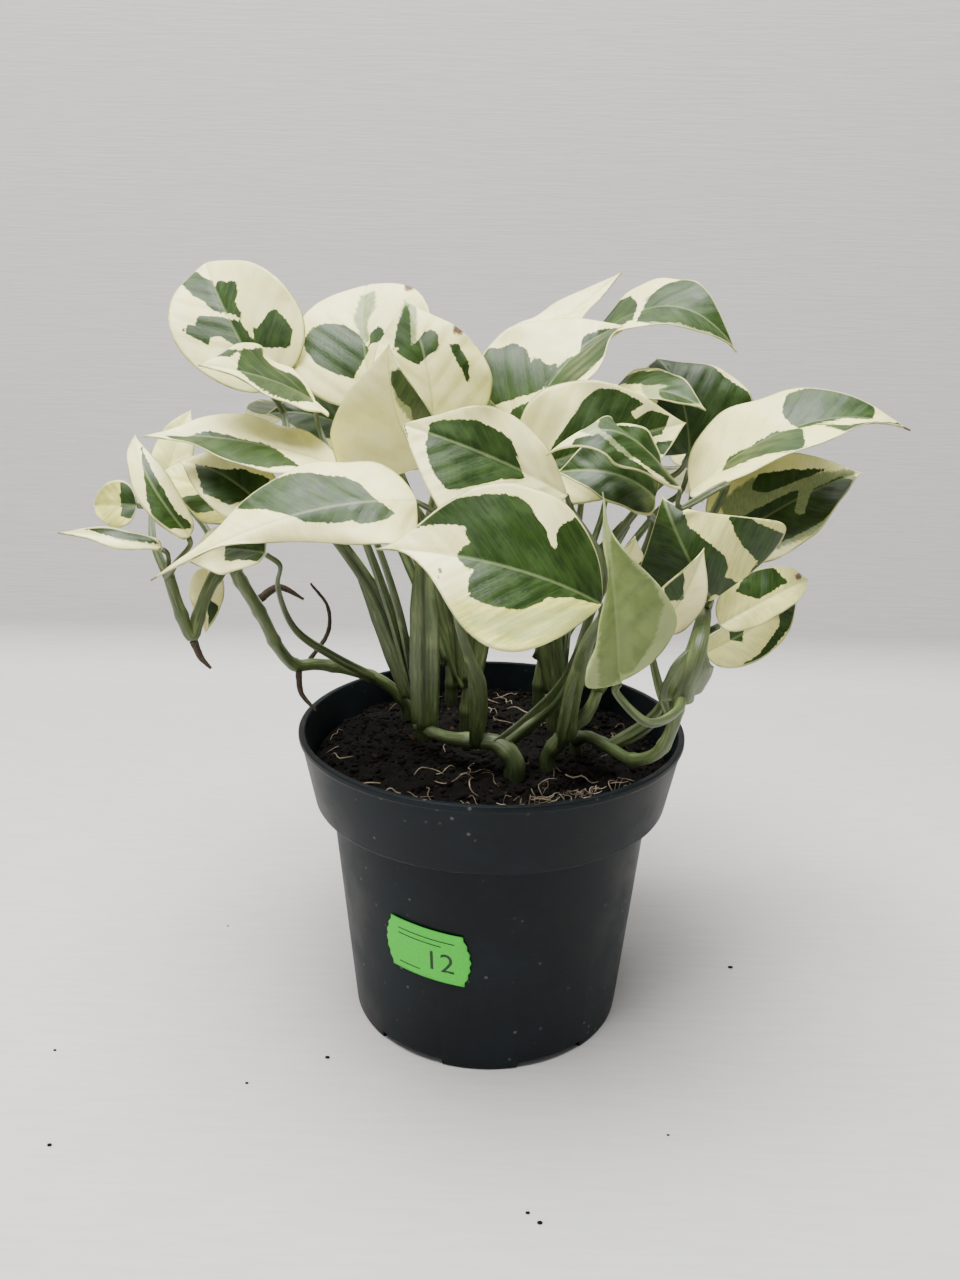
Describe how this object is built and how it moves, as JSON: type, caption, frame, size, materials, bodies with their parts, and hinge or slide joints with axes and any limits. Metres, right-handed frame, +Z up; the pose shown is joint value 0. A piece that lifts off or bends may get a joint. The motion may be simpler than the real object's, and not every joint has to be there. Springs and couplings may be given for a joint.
{
  "type": "potted pothos plant",
  "caption": "Bushy young pothos with cream and green marbled leaves on bent green vines, rooted in soil in a round black nursery pot with a plain paper sticker",
  "frame": {"origin": "middle of the pot's underside", "axes": "+Z up out of the pot, -Y towards the front, where the sticker is, and +X to the right"},
  "size_m": [0.2311, 0.1904, 0.2327],
  "materials": {
    "pot": "satin, finely ringed",
    "soil": "damp crumbly peat",
    "label": "satin paper",
    "vine": "satin",
    "root": "dry and rough",
    "leaf": "waxy satin"
  },
  "bodies": {
    "root": {"pot": "pot", "soil": "soil", "label": "label", "vine_front": "vine", "vine_right_front": "vine", "vine_right_small": "vine", "vine_left_long": "vine", "vine_left_middle": "vine", "vine_middle": "vine", "vine_right_middle": "vine", "vine_back_right": "vine", "vine_back_left": "vine", "root_rim_left": "root", "root_hanging": "root", "root_stub": "root", "root_long": "root", "leaf_top_left": "leaf", "leaf_upper_left": "leaf", "leaf_high_left": "leaf", "leaf_high_middle": "leaf", "leaf_pale_middle": "leaf", "leaf_high_right": "leaf", "leaf_back_point": "leaf", "leaf_top_right": "leaf", "leaf_back_dark": "leaf", "leaf_folded_right": "leaf", "leaf_mid_right": "leaf", "leaf_arched_right": "leaf", "leaf_dark_right": "leaf", "leaf_droop_right": "leaf", "leaf_low_right": "leaf", "leaf_far_right": "leaf", "leaf_under_far_right": "leaf", "leaf_small_right": "leaf", "leaf_front": "leaf", "leaf_over_front": "leaf", "leaf_long_left": "leaf", "leaf_long_upper_left": "leaf", "leaf_left_dark": "leaf", "leaf_left_crescent": "leaf", "leaf_left_tiny": "leaf", "leaf_left_pale": "leaf", "leaf_far_left": "leaf", "leaf_left_yellow": "leaf", "leaf_left_low": "leaf", "leaf_left_hanging": "leaf", "leaf_behind_left": "leaf", "leaf_new": "leaf", "leaf_inner_right": "leaf", "leaf_inner_pale": "leaf", "leaf_back_left": "leaf", "leaf_back_high_left": "leaf", "leaf_back_middle": "leaf", "leaf_back_high_right": "leaf", "leaf_back_right": "leaf", "leaf_back_low_left": "leaf", "leaf_back_low_right": "leaf", "leaf_back_low": "leaf"}
  },
  "joints": []
}
